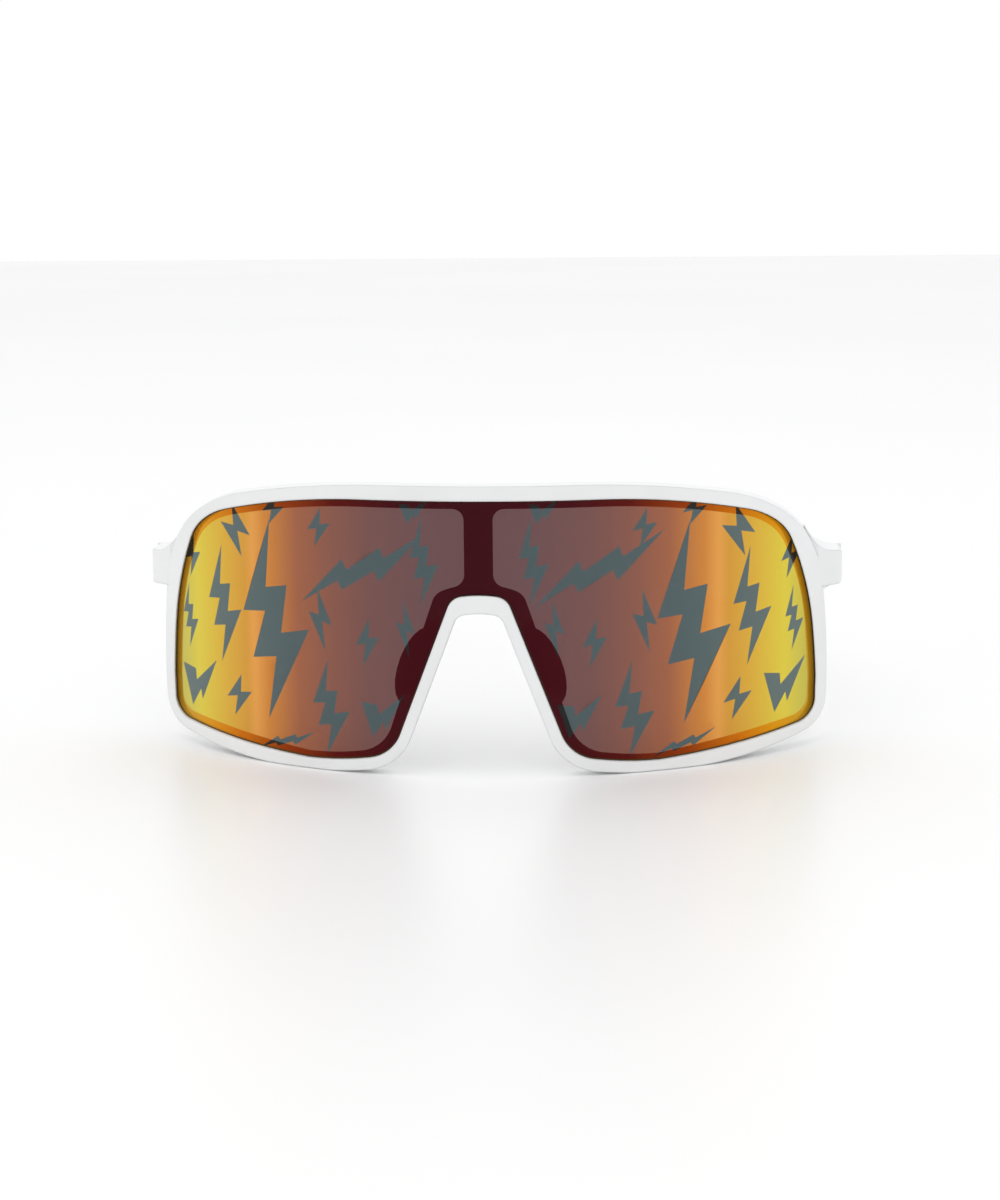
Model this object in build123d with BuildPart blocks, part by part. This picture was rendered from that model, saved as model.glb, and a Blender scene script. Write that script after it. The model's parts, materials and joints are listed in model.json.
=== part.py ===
"""Wraparound sport sunglasses: one cylindrical shield lens in a full-rim frame, with folding temples.

Millimetres. The glasses face -Y, the temples run back along +Y and +Z is up. They stand on the rims'
lower edges and the temple tips; the origin is on that plane, at the middle of the open glasses.
The +X pieces (the wearer's left) are made first, and the right ones are their mirror images.
"""

import os
from math import cos, radians, sin, sqrt

from build123d import *

# ---- driving dimensions: the front ----
DEPTH = 168.4  # whole length of the open glasses
LENS_R = 86.0  # outer radius of the cylindrical lens
LENS_T = 2.0
LENS_TOP = 56.2  # heights and half-widths of the visible lens
LENS_SIDE = 68.8
LENS_LOW = 2.1
ARCH_TOP = 37.2  # top of the lens's nose notch
EDGE_IN_GROOVE = 0.8  # how far the lens edge runs into the frame's groove
GROOVE_PLAY = 0.05
FRAME_PROUD = 0.9  # the frame's front face stands ahead of the lens
FRAME_DEPTH = 4.9  # measured along the lens radius
FRAME_TOP = 59.2
FRAME_SIDE = 71.3
BRIDGE_LOW = 33.55  # underside of the bridge
FLOOR_CUT = 0.15  # how much the rims' lowest edges are flattened
FILM_T = 0.15
FILM_TOP = 54.6
FILM_SIDE = 67.0
FILM_LOW = 3.5
STRUT = 2.9  # half the bare strip between the two films

# ---- driving dimensions: hinges and temples ----
SLOPE = 15.6  # the temples run down towards their tips
PIVOT_X = 69.4
PIVOT_BACK = 46.0  # from the lens apex back to the hinge axis
PIVOT_Z = 37.2
ARM_H = 7.6  # height of the temple at the hinge
TIP_DROP = 6.35  # the tip's underside, below the temple's middle line
TIP_MIDDLE = -1.6  # height of its rounded end
ARM_T = 5.2  # thickness of the temple at the hinge
TIP_T = 3.4
ARM_LENGTH = 131.0
ARM_LEAN = 5.0  # inward lean of the temple where it leaves the hinge
ARM_BEND_R = 420.0
BUTT_GAP = 0.1
GRIP_FROM = 72.0
GRIP_TO = 116.0
GRIP_H = 4.8
GRIP_SINK = 0.9
GRIP_PROUD = 0.5

KNUCKLE_R = 1.7
KNUCKLE_H = 1.6
WASHER_T = 0.2
SCREW_R = 0.7
SCREW_HEAD_R = 1.2
SCREW_HEAD_H = 0.6
RUNNING = 0.04  # radial clearance of the turning fits
POCKET_PLAY = 0.4
PLATE_T = 1.0
PLATE_END = 9.5
RIVET_R = 0.55
RIVET_HEAD_R = 0.95
RIVET_HEAD_H = 0.35
RIVET_DEPTH = 2.6  # how deep the rivets go into the plastic
RIVET_AT = (4.1, 7.3)

# ---- driving dimensions: nose pads ----
PAD_TILT = 21.0  # lean of the pads away from the vertical
PAD_FLARE = 32.0  # the pads open outwards towards the face
PAD_Z = 21.5
PAD_T = 2.4
PAD_HALF_L = 8.2
PAD_HALF_W = 4.8
PAD_STANDOFF = 1.4
CORE_T = 0.7
PEG_R = 0.55
PEG_DEPTH = 2.0
PEG_SPACING = 7.0

FRONT_Y = FRAME_PROUD - DEPTH / 2  # the lens's front apex
AXIS_Y = FRONT_Y + LENS_R
LENS_BACK_R = LENS_R - LENS_T
FRAME_FRONT_R = LENS_R + FRAME_PROUD
FRAME_BACK_R = FRAME_FRONT_R - FRAME_DEPTH
HINGE_H = 3 * KNUCKLE_H + 2 * WASHER_T
ARM_HALF_Z = ARM_H / 2 * cos(radians(SLOPE))

slope_sin = sin(radians(SLOPE))
slope_cos = cos(radians(SLOPE))
pivot = (PIVOT_X, FRONT_Y + PIVOT_BACK, PIVOT_Z)
# Seen along the hinge axis: local x outwards, local y back along the temple, z up the axis.
hinge_plane = Plane(origin=pivot, x_dir=(1, 0, 0), z_dir=(0, slope_sin, slope_cos))
# Seen from outside, square to the lens's plane of symmetry: local x back along the temple, y up.
side_plane = Plane(origin=pivot, x_dir=(0, slope_cos, -slope_sin), z_dir=(1, 0, 0))
# The joint between endpiece and temple: its normal runs back along the temple.
butt_plane = Plane(origin=pivot, x_dir=(1, 0, 0), z_dir=(0, slope_cos, -slope_sin))
front_plane = Plane.XZ.offset(-FRONT_Y - 100)

os.makedirs("parts", exist_ok=True)


def save(part, label):
    part.label = label
    export_step(part, f"parts/{label}.step")


def save_pair(part, label):
    """Writes a +X piece, which is the wearer's left, and its mirror image."""
    save(part, f"{label}_left")
    save(mirror(part, about=Plane.YZ), f"{label}_right")


def shell(outer_r, inner_r):
    """Upright half tube about the lens axis, taller than the whole front."""
    with BuildPart(mode=Mode.PRIVATE) as tube:
        with BuildSketch(Plane.XY.offset(-2)):
            with Locations((0, AXIS_Y)):
                Circle(outer_r)
                Circle(inner_r, mode=Mode.SUBTRACT)
        extrude(amount=64)
        split(bisect_by=Plane.XZ.offset(-AXIS_Y + 20), keep=Keep.TOP)
    return tube.part


def front_prism(line, grow=0.0):
    """The area inside a front-view line, run through the whole front along Y."""
    with BuildPart(mode=Mode.PRIVATE) as prism:
        with BuildSketch(front_plane):
            make_face(line.edges())
            if grow:
                offset(amount=grow)
        extrude(amount=130, both=True)
    return prism.part


def tangent_arcs(start, direction, *stops):
    """Draws arcs from stop to stop, each running on smoothly from the one before."""
    for stop in stops:
        arc = TangentArc(start, stop, tangent=direction)
        start = stop
        direction = arc % 1


def lens_outline():
    """Closed line around the visible lens, seen from the front."""
    with BuildLine(mode=Mode.PRIVATE) as line:
        Line((0, LENS_TOP), (24, LENS_TOP))
        shoulder = ((54, 52.3), (60.4, 48.9), (63.2, 45), (68, 26))
        tangent_arcs((24, LENS_TOP), (1, 0), *shoulder, (LENS_SIDE, 14.5))
        tangent_arcs((LENS_SIDE, 14.5), (-0.04, -1), (68.7, 9.8), (64.85, 5.3), (36, LENS_LOW))
        tangent_arcs((36, LENS_LOW), (-1, 0), (22.8, 3.2), (16.4, 8.3))
        Line((16.4, 8.3), (6.25, 34.8))
        tangent_arcs((6.25, 34.8), (-0.358, 0.934), (3.55, ARCH_TOP - 0.25), (0, ARCH_TOP))
        mirror(about=Plane.YZ)
    return line


def frame_outline():
    """Closed line around the rim, without the endpieces, seen from the front."""
    with BuildLine(mode=Mode.PRIVATE) as line:
        Line((0, FRAME_TOP), (20, FRAME_TOP))
        shoulder = ((50.4, 56), (60.6, 51.6), (65.8, 46.4), (70, 35.5))
        tangent_arcs((20, FRAME_TOP), (1, 0), *shoulder, (FRAME_SIDE, 14.5))
        tangent_arcs((FRAME_SIDE, 14.5), (0, -1), (71.15, 9.4), (66.2, 3.35), (36, -FLOOR_CUT))
        tangent_arcs((36, -FLOOR_CUT), (-1, 0), (23, 0.75), (13.9, 8.3))
        Line((13.9, 8.3), (4.95, 31.7))
        tangent_arcs((4.95, 31.7), (-0.358, 0.934), (3, BRIDGE_LOW - 0.25), (0, BRIDGE_LOW))
        mirror(about=Plane.YZ)
    return line


def film_outline():
    """Closed line around the +X film, seen from the front."""
    with BuildLine(mode=Mode.PRIVATE) as line:
        Line((STRUT, 41.5), (STRUT, FILM_TOP - 2.3))
        tangent_arcs((STRUT, FILM_TOP - 2.3), (0, 1), (STRUT + 2.3, FILM_TOP))
        Line((STRUT + 2.3, FILM_TOP), (24, FILM_TOP))
        shoulder = ((53.2, 50.9), (58.9, 47.9), (61.6, 44.3), (66.3, 26))
        tangent_arcs((24, FILM_TOP), (1, 0), *shoulder, (FILM_SIDE, 14.5))
        tangent_arcs((FILM_SIDE, 14.5), (-0.04, -1), (66.9, 10.6), (63.7, 7), (36, FILM_LOW))
        tangent_arcs((36, FILM_LOW), (-1, 0), (24.5, 4.5), (18.4, 9.4))
        Line((18.4, 9.4), (11.8, 29))
        tangent_arcs((11.8, 29), (-0.32, 0.95), (9.4, 36), (7.4, 38.1), (4.9, 38.9), (STRUT, 41.5))
    return line


def arm_point(along, side):
    """Point in the hinge plane at a distance along the temple; side runs from -1 inside to +1 outside."""
    thick = ARM_T + (TIP_T - ARM_T) * along / ARM_LENGTH
    turn = along / ARM_BEND_R
    lean = radians(ARM_LEAN) + turn
    x = ARM_T / 2 - ARM_BEND_R * (cos(radians(ARM_LEAN)) - cos(lean))
    y = ARM_BEND_R * (sin(lean) - sin(radians(ARM_LEAN)))
    return (x + side * thick / 2 * cos(lean), y + side * thick / 2 * sin(lean))


def arm_stations(start, end):
    return [start + (end - start) * step / 5 for step in range(6)]


def grip_prism(height, sink, proud):
    """A strip along the temple's inner face, from a depth inside it to a height above it."""
    stations = arm_stations(GRIP_FROM, GRIP_TO)
    with BuildPart(mode=Mode.PRIVATE) as strip:
        with BuildSketch(hinge_plane):
            with BuildLine():
                inner = [arm_point(along, -1) for along in stations]
                outer_line = Spline(*[(x + sink, y) for x, y in inner])
                inner_line = Spline(*[(x - proud, y) for x, y in inner])
                Line(outer_line @ 0, inner_line @ 0)
                Line(outer_line @ 1, inner_line @ 1)
            make_face()
        extrude(amount=height / 2, both=True)
    return strip.part


def hinge_bore(radius):
    """A cylinder on the hinge axis that is longer than the hinge."""
    with BuildPart(mode=Mode.PRIVATE) as bore:
        with BuildSketch(hinge_plane):
            Circle(radius)
        extrude(amount=2 * HINGE_H, both=True)
    return bore.part


def rivet_spots(back):
    """Planes at the two rivets of a hinge plate; z runs outwards from the plastic's inner face."""
    return [
        Plane(origin=hinge_plane.from_local_coords((0, back * at, 0)), x_dir=(0, 0, 1), z_dir=(1, 0, 0))
        for at in RIVET_AT
    ]


def rivet_holes(back):
    with BuildPart(mode=Mode.PRIVATE) as holes:
        for spot in rivet_spots(back):
            with BuildSketch(spot.offset(-PLATE_T)):
                Circle(RIVET_R)
            extrude(amount=PLATE_T + RIVET_DEPTH)
    return holes.part


def knuckle_heights(levels):
    """Heights of knuckle centres on the hinge axis, counted from the middle one."""
    return [level * (KNUCKLE_H + WASHER_T) for level in levels]


def hinge_leaf(back, levels):
    """A hinge plate with its knuckles; back is +1 on the temple and -1 on the endpiece."""
    near = KNUCKLE_R + POCKET_PLAY
    with BuildPart(mode=Mode.PRIVATE) as leaf:
        with BuildSketch(hinge_plane):
            with Locations((-PLATE_T / 2, back * (near + PLATE_END) / 2)):
                Rectangle(PLATE_T, PLATE_END - near)
        extrude(amount=HINGE_H / 2, both=True)
        for height in knuckle_heights(levels):
            with BuildSketch(hinge_plane.offset(height)):
                Circle(KNUCKLE_R)
                with Locations((-PLATE_T / 2, back * near / 2)):
                    Rectangle(PLATE_T, near + 0.2)
            extrude(amount=KNUCKLE_H / 2, both=True)
        add(hinge_bore(SCREW_R + RUNNING), mode=Mode.SUBTRACT)
        add(rivet_holes(back), mode=Mode.SUBTRACT)
    return leaf.part


def hinge_rivets(back):
    with BuildPart(mode=Mode.PRIVATE) as rivets:
        add(rivet_holes(back))
        for spot in rivet_spots(back):
            with BuildSketch(spot.offset(-PLATE_T - RIVET_HEAD_H)):
                Circle(RIVET_HEAD_R)
            extrude(amount=RIVET_HEAD_H)
        heads = rivets.edges().filter_by(GeomType.CIRCLE).sort_by(Axis.X)[:2]
        chamfer(heads, RIVET_HEAD_H * 0.6)
    return rivets.part


# ---- nose pad geometry: a frame of directions on the +X side ----
tilt_sin = sin(radians(PAD_TILT))
tilt_cos = cos(radians(PAD_TILT))
flare_sin = sin(radians(PAD_FLARE))
flare_cos = cos(radians(PAD_FLARE))
pad_up = Vector(-tilt_sin, 0, tilt_cos)
pad_back = Vector(flare_sin * tilt_cos, flare_cos, flare_sin * tilt_sin)
peg_x = 13.9 - (PAD_Z - 8.3) * (13.9 - 5.6) / (30.0 - 8.3) + 0.95
peg_y = AXIS_Y - sqrt(FRAME_BACK_R**2 - peg_x**2)
pad_root = Vector(peg_x, peg_y, PAD_Z)
pad_centre = pad_root + pad_back * (PAD_STANDOFF + PAD_HALF_W)
pad_plane = Plane(origin=pad_centre, x_dir=pad_back, z_dir=pad_back.cross(pad_up))


def peg_holes():
    """The two pegs that plug the pad's core into the back of the rim."""
    with BuildPart(mode=Mode.PRIVATE) as pegs:
        for side in (-1, 1):
            foot = pad_root + pad_up * (side * PEG_SPACING / 2)
            with BuildSketch(Plane(origin=foot + Vector(0, -PEG_DEPTH, 0), x_dir=(1, 0, 0), z_dir=(0, 1, 0))):
                Circle(PEG_R)
            extrude(amount=PEG_DEPTH + 1.1)
    return pegs.part


with BuildPart() as nose_pad_core:
    with BuildSketch(pad_plane.offset(-CORE_T / 2)):
        Ellipse(PAD_HALF_W - 1.6, PAD_HALF_L - 2.4)
        with Locations((-(PAD_HALF_W + PAD_STANDOFF) / 2 - 0.5, 0)):
            Rectangle(PAD_HALF_W + PAD_STANDOFF + 1, PEG_SPACING + 2 * PEG_R)
    extrude(amount=CORE_T)
    add(shell(FRAME_FRONT_R + 4, FRAME_BACK_R), mode=Mode.SUBTRACT)
    add(peg_holes())
save_pair(nose_pad_core.part, "nose_pad_core")

with BuildPart() as nose_pad:
    with BuildSketch(pad_plane.offset(-PAD_T / 2)):
        Ellipse(PAD_HALF_W, PAD_HALF_L)
    extrude(amount=PAD_T)
    fillet(nose_pad.edges(), PAD_T * 0.42)
    add(nose_pad_core.part, mode=Mode.SUBTRACT)
save_pair(nose_pad.part, "nose_pad")

# ---- hinges ----
with BuildPart() as frame_hinge:
    add(hinge_leaf(-1, (-1, 1)))
save_pair(frame_hinge.part, "frame_hinge")

with BuildPart() as temple_hinge:
    add(hinge_leaf(1, (0,)))
save_pair(temple_hinge.part, "temple_hinge")

with BuildPart() as hinge_washers:
    for height in knuckle_heights((-0.5, 0.5)):
        with BuildSketch(hinge_plane.offset(height - WASHER_T / 2)):
            Circle(KNUCKLE_R - 0.1)
            Circle(SCREW_R + RUNNING, mode=Mode.SUBTRACT)
        extrude(amount=WASHER_T)
save_pair(hinge_washers.part, "hinge_washers")

with BuildPart() as hinge_screw:
    with BuildSketch(hinge_plane.offset(-HINGE_H / 2)):
        Circle(SCREW_R)
    extrude(amount=HINGE_H)
    with BuildSketch(hinge_plane.offset(HINGE_H / 2)):
        Circle(SCREW_HEAD_R)
    extrude(amount=SCREW_HEAD_H)
    with BuildSketch(hinge_plane.offset(HINGE_H / 2 + SCREW_HEAD_H)):
        Rectangle(2 * SCREW_HEAD_R + 1, 0.35)
    extrude(amount=-SCREW_HEAD_H / 2, mode=Mode.SUBTRACT)
save_pair(hinge_screw.part, "hinge_screw")

with BuildPart() as frame_hinge_rivets:
    add(hinge_rivets(-1))
save_pair(frame_hinge_rivets.part, "frame_hinge_rivets")

with BuildPart() as temple_hinge_rivets:
    add(hinge_rivets(1))
save_pair(temple_hinge_rivets.part, "temple_hinge_rivets")

# ---- front ----
with BuildPart() as endpiece:
    low = PIVOT_Z - ARM_HALF_Z
    high = PIVOT_Z + ARM_HALF_Z
    outside = PIVOT_X + ARM_T
    with BuildSketch(Plane.XY.offset(low - 1)):
        with BuildLine():
            Line((66.2, FRONT_Y + 34), (69.0, FRONT_Y + 33.6))
            Spline(
                (69.0, FRONT_Y + 33.6),
                (73.2, FRONT_Y + 37.4),
                (outside, FRONT_Y + 42),
                tangents=((0.8, 0.5), (0, 1)),
            )
            Line((outside, FRONT_Y + 42), (outside, FRONT_Y + 50))
            Line((outside, FRONT_Y + 50), (PIVOT_X, FRONT_Y + 50))
            Line((PIVOT_X, FRONT_Y + 50), (PIVOT_X, FRONT_Y + 43.5))
            Line((PIVOT_X, FRONT_Y + 43.5), (66.2, FRONT_Y + 39))
            Line((66.2, FRONT_Y + 39), (66.2, FRONT_Y + 34))
        make_face()
    extrude(amount=ARM_H + 10)
    with BuildSketch(front_plane):
        with BuildLine():
            Line((60, low), (outside - 0.8, low))
            RadiusArc((outside - 0.8, low), (outside, low + 0.8), -0.8)
            Line((outside, low + 0.8), (outside, high - 1.3))
            RadiusArc((outside, high - 1.3), (outside - 1.3, high), -1.3)
            Spline(
                (outside - 1.3, high),
                (69.6, high + 1.2),
                (66.3, high + 5.4),
                tangents=((-1, 0), (-0.5, 1)),
            )
            Line((66.3, high + 5.4), (60, high + 5.4))
            Line((60, high + 5.4), (60, low))
        make_face()
    extrude(amount=130, both=True, mode=Mode.INTERSECT)
    split(bisect_by=butt_plane.offset(-BUTT_GAP), keep=Keep.BOTTOM)


def lens_blank(play):
    """The whole lens, edge and all, made larger all round by a clearance."""
    with BuildPart(mode=Mode.PRIVATE) as blank:
        add(front_prism(lens_outline(), EDGE_IN_GROOVE + play))
        add(shell(LENS_R + play, LENS_BACK_R - play), mode=Mode.INTERSECT)
    return blank.part


with BuildPart() as front_frame:
    add(front_prism(frame_outline()))
    add(shell(FRAME_FRONT_R, FRAME_BACK_R), mode=Mode.INTERSECT)
    add(endpiece.part)
    add(mirror(endpiece.part, about=Plane.YZ, mode=Mode.PRIVATE))
    add(front_prism(lens_outline()), mode=Mode.SUBTRACT)
    add(lens_blank(GROOVE_PLAY), mode=Mode.SUBTRACT)
    for cutter in (
        hinge_bore(KNUCKLE_R + POCKET_PLAY),
        frame_hinge.part,
        frame_hinge_rivets.part,
        peg_holes(),
    ):
        add(cutter, mode=Mode.SUBTRACT)
        add(mirror(cutter, about=Plane.YZ, mode=Mode.PRIVATE), mode=Mode.SUBTRACT)
    split(bisect_by=Plane.XY, keep=Keep.TOP)
save(front_frame.part, "front_frame")

with BuildPart() as shield_lens:
    add(lens_blank(0))
save(shield_lens.part, "shield_lens")

with BuildPart() as lens_film:
    add(front_prism(film_outline()))
    add(shell(LENS_BACK_R, LENS_BACK_R - FILM_T), mode=Mode.INTERSECT)
save_pair(lens_film.part, "lens_film")

# ---- temples ----
with BuildPart() as temple:
    with BuildSketch(hinge_plane):
        with BuildLine():
            inner_edge = Spline(*[arm_point(along, -1) for along in arm_stations(0, ARM_LENGTH)])
            outer_edge = Spline(*[arm_point(along, 1) for along in arm_stations(0, ARM_LENGTH)])
            Line(inner_edge @ 0, outer_edge @ 0)
            Line(inner_edge @ 1, outer_edge @ 1)
        make_face()
    extrude(amount=10, both=True)
    with BuildSketch(side_plane.offset(-50)):
        with BuildLine():
            reach = arm_point(ARM_LENGTH, 0)[1]
            Line((-1, ARM_H / 2), (70, ARM_H / 2))
            tangent_arcs((70, ARM_H / 2), (1, 0), (reach - 14, 2.9), (reach - 3.2, 1.4), (reach, TIP_MIDDLE))
            tangent_arcs((reach, TIP_MIDDLE), (0.29, -0.96), (reach - 1.3, -4), (reach - 8.5, -5.65))
            underside = ((reach - 19.5, -TIP_DROP), (75, -4.6), (40, -ARM_H / 2))
            tangent_arcs((reach - 8.5, -5.65), (-0.98, -0.18), *underside)
            Line((40, -ARM_H / 2), (-1, -ARM_H / 2))
            Line((-1, -ARM_H / 2), (-1, ARM_H / 2))
        make_face()
    extrude(amount=70, mode=Mode.INTERSECT)
    split(bisect_by=butt_plane, keep=Keep.TOP)
    add(hinge_bore(KNUCKLE_R + POCKET_PLAY), mode=Mode.SUBTRACT)
    add(rivet_holes(1), mode=Mode.SUBTRACT)
    add(temple_hinge.part, mode=Mode.SUBTRACT)
    add(grip_prism(GRIP_H, GRIP_SINK, 1), mode=Mode.SUBTRACT)
    split(bisect_by=Plane.XY, keep=Keep.TOP)
save_pair(temple.part, "temple")

with BuildPart() as ear_grip:
    add(grip_prism(GRIP_H, GRIP_SINK, GRIP_PROUD))
save_pair(ear_grip.part, "ear_grip")
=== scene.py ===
"""Looks for the wraparound sport sunglasses: a mirror-coated shield lens with a printed bolt pattern,
a milky film behind it, a satin white frame and temples, black rubber and small steel hinges."""

import json
from math import cos, hypot, radians, sin, sqrt

import bmesh
import bpy
from mathutils import Matrix, Vector
from mathutils.geometry import delaunay_2d_cdt


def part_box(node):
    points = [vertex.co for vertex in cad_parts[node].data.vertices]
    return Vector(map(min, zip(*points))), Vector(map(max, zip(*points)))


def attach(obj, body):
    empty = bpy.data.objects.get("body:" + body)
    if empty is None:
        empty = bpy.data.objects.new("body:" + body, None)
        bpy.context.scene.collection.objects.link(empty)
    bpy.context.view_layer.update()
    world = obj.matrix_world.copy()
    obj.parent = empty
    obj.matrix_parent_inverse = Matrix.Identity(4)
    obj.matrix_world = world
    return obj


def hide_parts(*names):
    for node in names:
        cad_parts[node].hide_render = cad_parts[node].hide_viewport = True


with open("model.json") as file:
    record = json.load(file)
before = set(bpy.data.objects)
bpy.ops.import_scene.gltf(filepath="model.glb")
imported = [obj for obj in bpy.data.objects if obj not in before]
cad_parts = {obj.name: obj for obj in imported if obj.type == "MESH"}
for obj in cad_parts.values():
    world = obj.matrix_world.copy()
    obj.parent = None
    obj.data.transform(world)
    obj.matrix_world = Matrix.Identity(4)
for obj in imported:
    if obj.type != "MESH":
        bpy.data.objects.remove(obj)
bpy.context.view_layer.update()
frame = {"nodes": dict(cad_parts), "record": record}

MM = 0.001
LENS_R = 86.0 * MM
LENS_T = 2.0 * MM
LENS_EDGE = 0.8 * MM  # the part of the lens hidden in the groove
FILM_GAP = 0.1 * MM  # keeps the back skin off the film's face
SHADE_W = 0.3 * MM  # width of the painted shade line where the lens meets the frame
EDGE_AND_SHADE_LOOK = 4  # material slots 0 to 3 are bare, bare printed, veil glow and veil glow printed; the veil glow is the milky film's tone with painted light coming through it from behind
BACK_LOOK = 5
ON_FACE = 0.02 * MM  # how far a vertex may be from a radius and still count as on it
GRID_STEP = 1.7 * MM  # spacing of the points that let the flat sheet bend smoothly
RAMP_REACH = 70  # millimetres from the plane of symmetry at the end of a colour ramp
PAD_SHADOW_TILT = 21
PAD_SHADOW_WIDE, PAD_SHADOW_LONG = 0.42, 0.54  # the painted pad shadow's half axes, as shares of the pad's box
FLOOR_HALF = 3.0
FLOOR_DROP = 0.1 * MM
lens_low, lens_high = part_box("shield_lens")
AXIS_Y = lens_low.y + LENS_R

# ---- generic bolt shapes in a unit box: x right, z up ----
BOLTS = {
    "small": [(0.1, 0.5), (-0.5, -0.08), (-0.08, -0.02), (-0.2, -0.5), (0.5, 0.12), (0.06, 0.08)],
    "long": [
        (-0.06, 0.5), (-0.14, 0.16), (0.18, 0.18), (0.08, -0.06), (0.5, -0.03),
        (-0.14, -0.5), (0.0, -0.18), (-0.36, -0.2), (-0.16, 0.04), (-0.5, 0.03),
    ],
    "vee": [
        (0.5, 0.5), (-0.1, 0.02), (-0.12, 0.24), (-0.5, 0.3), (-0.24, -0.5), (0.02, -0.14), (0.06, -0.34),
    ],
    "diag": [
        (0.5, 0.5), (0.18, 0.16), (0.15, 0.3), (-0.12, -0.02), (-0.16, 0.12), (-0.5, -0.5),
        (-0.2, -0.18), (-0.16, -0.3), (0.1, -0.02), (0.14, -0.16),
    ],
}
# One half of the print: distance from the plane of symmetry, height, and the bolt's width and height, in
# millimetres. Both halves use it, with the bolts' shapes unmirrored, as on a repeating print. Its places and
# sizes started from those of the photographed print and were moved by a few millimetres.
HALF_PRINT = [
    (43, 30, 15, 42, "long"), (24, 42, 26, 15, "diag"), (33, 50, 5, 8, "small"), (11, 44, 6, 18, "long"),
    (23, 27, 5, 10, "small"), (31, 13, 8, 20, "long"), (20, 12, 9, 9, "vee"), (52, 48, -7, 11, "small"),
    (55, 32, 8, 25, "long"), (52, 13, 6, 9, "small"), (63, 41, 4, 9, "small"), (62, 14, 9, 11, "vee"),
    (64, 28, 4, 14, "long"), (41, 5, 13, 5, "diag"), (13, 54, 6, 5, "vee"), (33, 31, -5, 13, "small"),
    (43, 53, 5, 6, "small"), (15, 30, -4, 12, "small"),
]
PRINT = [(side * x, *rest) for side in (-1, 1) for x, *rest in HALF_PRINT]


def loop_points(node, radius):
    """A CAD sheet's outline in the front view, read from the edge of its face at a radius."""
    mesh = frame["nodes"][node].data
    bm = bmesh.new()
    bm.from_mesh(mesh)
    bmesh.ops.remove_doubles(bm, verts=bm.verts, dist=1e-6)
    on_front = {v for v in bm.verts if abs(hypot(v.co.x, v.co.y - AXIS_Y) - radius) < ON_FACE}
    ring = {}
    for edge in bm.edges:
        if edge.verts[0] in on_front and edge.verts[1] in on_front:
            inside = [all(v in on_front for v in face.verts) for face in edge.link_faces]
            if inside.count(True) == 1:
                for a, b in (edge.verts, reversed(edge.verts)):
                    ring.setdefault(a, []).append(b)
    start = next(iter(ring))
    path = [start, ring[start][0]]
    while path[-1] != start:
        here, before = path[-1], path[-2]
        path.append(next(v for v in ring[here] if v != before))
    outline = [(v.co.x, v.co.z) for v in path[:-1]]
    bm.free()
    return outline


def inset(outline, depth):
    """The outline moved inwards by a depth."""
    around = list(zip(outline[-1:] + outline[:-1], outline, outline[1:] + outline[:1]))
    area = sum(x0 * z1 - x1 * z0 for _, (x0, z0), (x1, z1) in around)
    inwards = depth if area > 0 else -depth
    moved = []
    for (x0, z0), (x, z), (x1, z1) in around:
        length = hypot(x1 - x0, z1 - z0)
        moved.append((x - inwards * (z1 - z0) / length, z + inwards * (x1 - x0) / length))
    return moved


def inside_polygon(point, polygon):
    """Whether a point is inside, by counting the sides that a line from it crosses."""
    x, z = point
    odd = False
    for (x0, z0), (x1, z1) in zip(polygon, polygon[1:] + polygon[:1]):
        if (z0 > z) != (z1 > z) and x < x0 + (z - z0) * (x1 - x0) / (z1 - z0):
            odd = not odd
    return odd


def bolt_outline(x, z, width, height, kind):
    """A bolt's corners in the front view; a negative width turns its shape the other way."""
    return [((x + u * width) * MM, (z + v * height) * MM) for u, v in BOLTS[kind]]


def pad_shadow_outline(node):
    """A painted shadow: the patch of film that a nose pad darkens from behind, as the pad's ellipse in the
    front view.
    """
    low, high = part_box(node)
    middle = (low + high) / 2
    tilt = radians(PAD_SHADOW_TILT) if middle.x > 0 else radians(-PAD_SHADOW_TILT)
    half_w, half_l = (high.x - low.x) * PAD_SHADOW_WIDE, (high.z - low.z) * PAD_SHADOW_LONG
    turns = [radians(15 * step) for step in range(24)]
    oval = [(half_w * cos(turn), half_l * sin(turn)) for turn in turns]
    return [
        (middle.x + u * cos(tilt) - v * sin(tilt), middle.z + u * sin(tilt) + v * cos(tilt)) for u, v in oval
    ]


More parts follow.
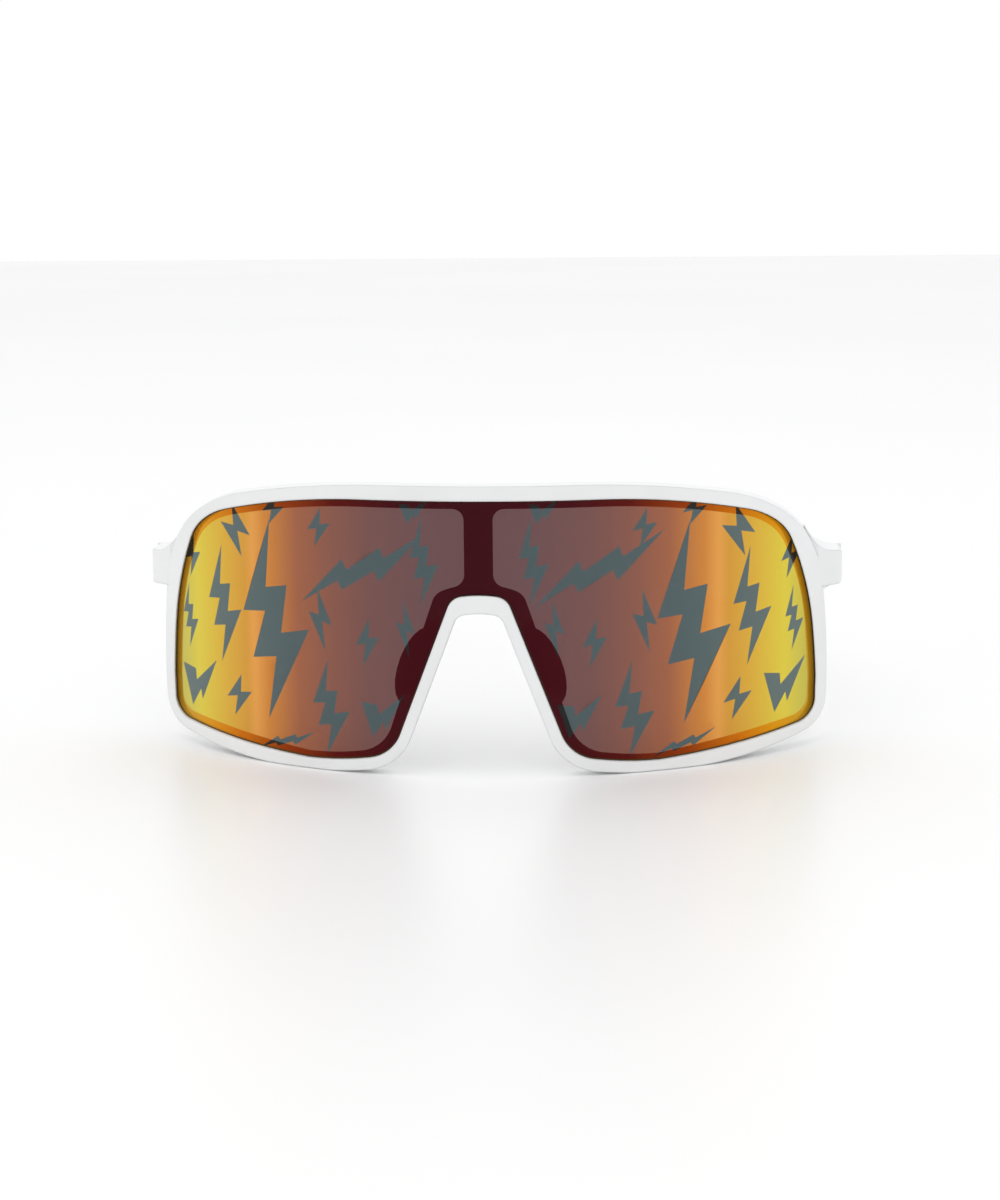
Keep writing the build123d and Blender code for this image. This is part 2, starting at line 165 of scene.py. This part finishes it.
def flat_panels():
    """The lens in the front view: its points, and its triangles, each with the number of its look."""
    outline = loop_points("shield_lens", LENS_R)
    # between the outline and this inset the lens gets the edge look: the hidden edge and a painted shade
    # line at the frame
    clear = inset(outline, LENS_EDGE + SHADE_W)
    films = [loop_points(name, LENS_R - LENS_T) for name in ("lens_film_left", "lens_film_right")]
    pad_shadows = [pad_shadow_outline(name) for name in ("nose_pad_left", "nose_pad_right")]
    bolts = [bolt_outline(*item) for item in PRINT]
    points = []
    edges = []
    for loop in [outline, clear, *films, *pad_shadows, *bolts]:
        first = len(points)
        points += loop
        edges += [(first + i, first + (i + 1) % len(loop)) for i in range(len(loop))]
    columns = int((lens_high.x - lens_low.x) / GRID_STEP)
    rows = int((lens_high.z - lens_low.z) / GRID_STEP)
    points += [
        (lens_low.x + (column + 0.5) * GRID_STEP, lens_low.z + (row + 0.5) * GRID_STEP)
        for column in range(columns)
        for row in range(rows)
    ]
    flat = [Vector(p) for p in points]
    verts, _, faces, _, _, _ = delaunay_2d_cdt(flat, edges, [], 0, 1e-7)
    panels = []
    for face in faces:
        middle = sum((verts[i] for i in face), Vector((0, 0))) / len(face)
        if inside_polygon(middle, outline):
            printed = any(inside_polygon(middle, bolt) for bolt in bolts)
            # over the films the lens is painted lighter: the milky film's tone and painted light coming
            # through it from behind
            veil_glow = any(inside_polygon(middle, film) for film in films)
            # painted pad shadows: no painted glow where a nose pad stands behind the film
            veil_glow = veil_glow and not any(inside_polygon(middle, pad) for pad in pad_shadows)
            look = 2 * veil_glow + printed if inside_polygon(middle, clear) else EDGE_AND_SHADE_LOOK
            panels.append((list(face), look))
    return verts, panels


def lens_mesh():
    """The lens as two skins and an edge, with the printed bolts cut into the front skin."""
    verts, panels = flat_panels()
    bm = bmesh.new()

    def skin(radius):
        return [bm.verts.new((v.x, AXIS_Y - sqrt(radius**2 - v.x**2), v.y)) for v in verts]

    front, back = skin(LENS_R), skin(LENS_R - LENS_T + FILM_GAP)
    sides = {}
    for face, look in panels:
        top = bm.faces.new([front[i] for i in face])
        top.material_index = look
        under = bm.faces.new([back[i] for i in reversed(face)])
        under.material_index = BACK_LOOK
        for a, b in zip(face, face[1:] + face[:1]):
            sides.setdefault(frozenset((a, b)), []).append((a, b))
    for uses in sides.values():
        if len(uses) == 1:
            a, b = uses[0]
            rim = bm.faces.new([front[b], front[a], back[a], back[b]])
            rim.material_index = EDGE_AND_SHADE_LOOK
    bmesh.ops.delete(bm, geom=[v for v in bm.verts if not v.link_faces], context="VERTS")
    bmesh.ops.recalc_face_normals(bm, faces=bm.faces)
    for face in bm.faces:
        face.smooth = abs(face.normal.z) < 0.3
    mesh = bpy.data.meshes.new("mirror_lens")
    bm.to_mesh(mesh)
    bm.free()
    return mesh


# ---- materials ----
def material(name):
    made = bpy.data.materials.new(name)
    made.use_nodes = True
    tree = made.node_tree
    return made, tree, tree.nodes["Principled BSDF"]


def link(tree, a, b):
    tree.links.new(a, b)


def node(tree, kind, **values):
    made = tree.nodes.new(kind)
    for key, value in values.items():
        setattr(made, key, value)
    return made


def noise(tree, scale, detail=3.0, stretch=None):
    place = node(tree, "ShaderNodeTexCoord")
    out = node(tree, "ShaderNodeTexNoise")
    out.inputs["Scale"].default_value = scale
    out.inputs["Detail"].default_value = detail
    if stretch:
        mapping = node(tree, "ShaderNodeMapping")
        mapping.inputs["Scale"].default_value = stretch
        link(tree, place.outputs["Object"], mapping.inputs["Vector"])
        link(tree, mapping.outputs["Vector"], out.inputs["Vector"])
    else:
        link(tree, place.outputs["Object"], out.inputs["Vector"])
    return out


def ramp(tree, source, stops):
    out = node(tree, "ShaderNodeValToRGB")
    elements = out.color_ramp.elements
    while len(elements) < len(stops):
        elements.new(0.5)
    for element, (at, colour) in zip(elements, stops):
        element.position = at
        element.color = (*colour, 1)
    link(tree, source, out.inputs["Fac"])
    return out


def grey(value):
    return (value, value, value)


def seen(red, green, blue):
    """A colour given as a screen shows it, from 0 to 255."""
    return tuple((level / 255) ** 2.2 for level in (red, green, blue))


def surface(tree, shader, source, low, high, bump_scale, bump_height, rounding=0.0):
    """Roughness between two values and a fine bump from one noise, over softened edges."""
    rough = node(tree, "ShaderNodeMapRange")
    rough.inputs["To Min"].default_value = low
    rough.inputs["To Max"].default_value = high
    link(tree, source, rough.inputs["Value"])
    link(tree, rough.outputs["Result"], shader.inputs["Roughness"])
    grain = noise(tree, bump_scale)
    bump = node(tree, "ShaderNodeBump")
    bump.inputs["Strength"].default_value = 0.35
    bump.inputs["Distance"].default_value = bump_height
    link(tree, grain.outputs["Fac"], bump.inputs["Height"])
    if rounding:
        bevel = node(tree, "ShaderNodeBevel", samples=6)
        bevel.inputs["Radius"].default_value = rounding
        link(tree, bevel.outputs["Normal"], bump.inputs["Normal"])
    link(tree, bump.outputs["Normal"], shader.inputs["Normal"])


def satin_white():
    made, tree, shader = material("satin_white")
    clouds = noise(tree, 45)
    tone = ramp(tree, clouds.outputs["Fac"], [(0.3, seen(230, 231, 231)), (0.7, seen(237, 238, 239))])
    link(tree, tone.outputs["Color"], shader.inputs["Base Color"])
    surface(tree, shader, clouds.outputs["Fac"], 0.28, 0.4, 2600, 0.00002, 0.0006)
    shader.inputs["Subsurface Weight"].default_value = 0.06
    shader.inputs["Subsurface Radius"].default_value = (0.002, 0.002, 0.002)
    return made


def position_ramp(tree, stops):
    """Colour along the distance from the plane of symmetry, in millimetres."""
    place = node(tree, "ShaderNodeTexCoord")
    split = node(tree, "ShaderNodeSeparateXYZ")
    link(tree, place.outputs["Object"], split.inputs["Vector"])
    away = node(tree, "ShaderNodeMath", operation="ABSOLUTE")
    link(tree, split.outputs["X"], away.inputs[0])
    share = node(tree, "ShaderNodeMath", operation="DIVIDE")
    share.inputs[1].default_value = RAMP_REACH * MM
    link(tree, away.outputs[0], share.inputs[0])
    return ramp(tree, share.outputs[0], [(at / RAMP_REACH, colour) for at, colour in stops])


def lens_front(name, stops, alpha, metallic, roughness):
    made, tree, shader = material(name)
    tint = position_ramp(tree, stops)
    clouds = noise(tree, 25, stretch=(1, 1, 0.15))
    shade = ramp(tree, clouds.outputs["Fac"], [(0.3, grey(0.97)), (0.7, grey(1.0))])
    mix = node(tree, "ShaderNodeMix", data_type="RGBA", blend_type="MULTIPLY")
    mix.inputs["Factor"].default_value = 1
    link(tree, tint.outputs["Color"], mix.inputs[6])
    link(tree, shade.outputs["Color"], mix.inputs[7])
    link(tree, mix.outputs[2], shader.inputs["Base Color"])
    surface(tree, shader, clouds.outputs["Fac"], roughness, roughness + 0.06, 900, 0.000002)
    shader.inputs["Metallic"].default_value = metallic
    shader.inputs["Alpha"].default_value = alpha
    shader.inputs["Specular IOR Level"].default_value = 0.15
    return made


def lens_back():
    made, tree, shader = material("lens_smoke")
    clouds = noise(tree, 30)
    tone = ramp(tree, clouds.outputs["Fac"], [(0.3, seen(50, 34, 30)), (0.7, seen(58, 40, 34))])
    link(tree, tone.outputs["Color"], shader.inputs["Base Color"])
    surface(tree, shader, clouds.outputs["Fac"], 0.1, 0.16, 300, 0.0000005)
    shader.inputs["Alpha"].default_value = 0.8
    return made


def milky_film():
    made, tree, shader = material("milky_film")
    clouds = noise(tree, 18, detail=1)
    tone = ramp(tree, clouds.outputs["Fac"], [(0.3, seen(206, 210, 211)), (0.7, seen(216, 219, 220))])
    link(tree, tone.outputs["Color"], shader.inputs["Base Color"])
    surface(tree, shader, clouds.outputs["Fac"], 0.4, 0.5, 300, 0.0000005)
    shader.inputs["Specular IOR Level"].default_value = 0.3
    shader.inputs["Alpha"].default_value = 0.3
    return made


def black_rubber():
    made, tree, shader = material("black_rubber")
    clouds = noise(tree, 220)
    tone = ramp(tree, clouds.outputs["Fac"], [(0.3, grey(0.012)), (0.7, grey(0.024))])
    link(tree, tone.outputs["Color"], shader.inputs["Base Color"])
    surface(tree, shader, clouds.outputs["Fac"], 0.55, 0.72, 3200, 0.00005, 0.0003)
    return made


def steel(name, tone_low, tone_high, low, high, stretch):
    made, tree, shader = material(name)
    brush = noise(tree, 900, stretch=stretch)
    tone = ramp(tree, brush.outputs["Fac"], [(0.35, grey(tone_low)), (0.65, grey(tone_high))])
    link(tree, tone.outputs["Color"], shader.inputs["Base Color"])
    surface(tree, shader, brush.outputs["Fac"], low, high, 2500, 0.00001, 0.0001)
    shader.inputs["Metallic"].default_value = 1
    return made


def nylon():
    made, tree, shader = material("nylon")
    clouds = noise(tree, 500)
    tone = ramp(tree, clouds.outputs["Fac"], [(0.3, (0.7, 0.69, 0.65)), (0.7, (0.8, 0.79, 0.76))])
    link(tree, tone.outputs["Color"], shader.inputs["Base Color"])
    surface(tree, shader, clouds.outputs["Fac"], 0.4, 0.5, 1500, 0.00001)
    return made


# ---- the lens's colours: millimetres from the plane of symmetry, and the colour there on a screen ----
# Over the films the colours are the milky film's tone with painted light coming through it from behind.
VEIL_GLOW = [
    (0, seen(106, 79, 82)), (12, seen(112, 82, 83)), (22, seen(120, 85, 82)), (31, seen(140, 92, 79)),
    # the stops at 45, 48 and 50 mm paint a softbox reflection: a brighter vertical stripe
    (38, seen(162, 101, 74)), (45, seen(208, 134, 64)), (48, seen(230, 160, 80)), (50, seen(214, 154, 64)),
    (55, seen(220, 174, 66)), (62, seen(224, 204, 70)), (68, seen(190, 182, 84)),
]
BARE = [
    (0, seen(60, 10, 21)), (18, seen(68, 15, 24)), (30, seen(92, 24, 18)), (42, seen(150, 62, 10)),
    (52, seen(205, 112, 6)), (60, seen(222, 150, 8)), (68, seen(196, 152, 30)),
]
# The print over the films is lighter by the same painted light from behind.
VEIL_GLOW_INK = [(0, seen(74, 88, 91)), (40, seen(84, 98, 100)), (60, seen(100, 114, 112))]
BARE_INK = [(0, seen(28, 30, 33)), (68, seen(48, 44, 34))]
# The lens's edge, and the painted shade line where the lens meets the frame.
EDGE_AND_SHADE_TONE = [(0, seen(44, 12, 16)), (68, seen(96, 80, 40))]

SURFACES = {
    "frame_white": satin_white(),
    "film": milky_film(),
    "rubber_black": black_rubber(),
    "core_steel": steel("core_steel", 0.4, 0.55, 0.3, 0.45, (1, 1, 6)),
    "hinge_steel": steel("hinge_steel", 0.5, 0.66, 0.22, 0.36, (1, 0.1, 4)),
    "screw_steel": steel("screw_steel", 0.62, 0.75, 0.14, 0.24, (3, 3, 1)),
    "rivet_steel": steel("rivet_steel", 0.55, 0.7, 0.18, 0.3, (2, 2, 2)),
    "nylon": nylon(),
    "lens_mirror": lens_front("mirror_bare", BARE, 0.99, 0.6, 0.1),
}

for part in frame["record"]["subparts"]:
    mesh = frame["nodes"][part["node"]].data
    mesh.materials.clear()
    mesh.materials.append(SURFACES[part["material_slot"]])

lens = bpy.data.objects.new("mirror_lens", lens_mesh())
bpy.context.scene.collection.objects.link(lens)
lens.data.materials.append(SURFACES["lens_mirror"])
lens.data.materials.append(lens_front("ink_bare", BARE_INK, 0.99, 0, 0.16))
# over the films: the milky film's tone with painted light from behind it
lens.data.materials.append(lens_front("mirror_veil_glow", VEIL_GLOW, 0.97, 0.6, 0.1))
lens.data.materials.append(lens_front("ink_veil_glow", VEIL_GLOW_INK, 0.97, 0, 0.16))
# the lens's edge and the painted shade line at the frame
lens.data.materials.append(lens_front("lens_edge_and_shade", EDGE_AND_SHADE_TONE, 1, 0, 0.3))
lens.data.materials.append(lens_back())
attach(lens, "front")
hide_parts("shield_lens")


# ---- floor, light and camera ----
def studio():
    bm = bmesh.new()
    corners = [(-1, -1), (1, -1), (1, 1), (-1, 1)]
    bm.faces.new([bm.verts.new((x * FLOOR_HALF, y * FLOOR_HALF, -FLOOR_DROP)) for x, y in corners])
    mesh = bpy.data.meshes.new("floor")
    bm.to_mesh(mesh)
    bm.free()
    floor = bpy.data.objects.new("floor", mesh)
    bpy.context.scene.collection.objects.link(floor)
    made, tree, shader = material("studio_floor")
    clouds = noise(tree, 3)
    tone = ramp(tree, clouds.outputs["Fac"], [(0.3, grey(0.9)), (0.7, grey(0.92))])
    link(tree, tone.outputs["Color"], shader.inputs["Base Color"])
    shader.inputs["Roughness"].default_value = 0.35
    mesh.materials.append(made)


def softbox(name, place, size, power):
    """A rectangular lamp that faces the middle of the glasses."""
    light = bpy.data.lights.new(name, "AREA")
    light.shape = "RECTANGLE"
    light.size, light.size_y = size
    light.energy = power
    lamp = bpy.data.objects.new(name, light)
    lamp.location = place
    towards = Vector((0, 0, 30 * MM)) - Vector(place)
    lamp.rotation_euler = towards.to_track_quat("-Z", "Y").to_euler()
    bpy.context.scene.collection.objects.link(lamp)


def camera():
    """Front view from a little above and to the +X side, far enough for little perspective."""
    azimuth, elevation, roll, distance = radians(4.2), radians(9.7), radians(-0.55), 0.5
    target = Vector((4.23 * MM, lens_low.y, 36.3 * MM))
    back = Vector((sin(azimuth) * cos(elevation), -cos(azimuth) * cos(elevation), sin(elevation)))
    right = Vector((cos(azimuth), sin(azimuth), 0))
    up = back.cross(right)
    turned_right = right * cos(roll) + up * sin(roll)
    turned_up = up * cos(roll) - right * sin(roll)
    data = bpy.data.cameras.new("camera")
    data.lens = 75.13
    data.clip_start = 0.01
    view = bpy.data.objects.new("camera", data)
    turn = Matrix((turned_right, turned_up, back)).transposed().to_4x4()
    view.matrix_world = Matrix.Translation(target + back * distance) @ turn
    bpy.context.scene.collection.objects.link(view)
    bpy.context.scene.camera = view


studio()
softbox("key", (-0.5, -0.5, 1.3), (1.0, 1.0), 1.6)
softbox("fill", (0.9, -0.6, 0.8), (1.0, 1.0), 0.5)
softbox("top", (0, 0.3, 1.4), (1.2, 1.2), 1.2)
camera()
world = bpy.data.worlds.new("studio")
world.use_nodes = True
world.node_tree.nodes["Background"].inputs["Color"].default_value = (1, 1, 1, 1)
world.node_tree.nodes["Background"].inputs["Strength"].default_value = 1
bpy.context.scene.world = world
bpy.context.scene.view_settings.view_transform = "Standard"
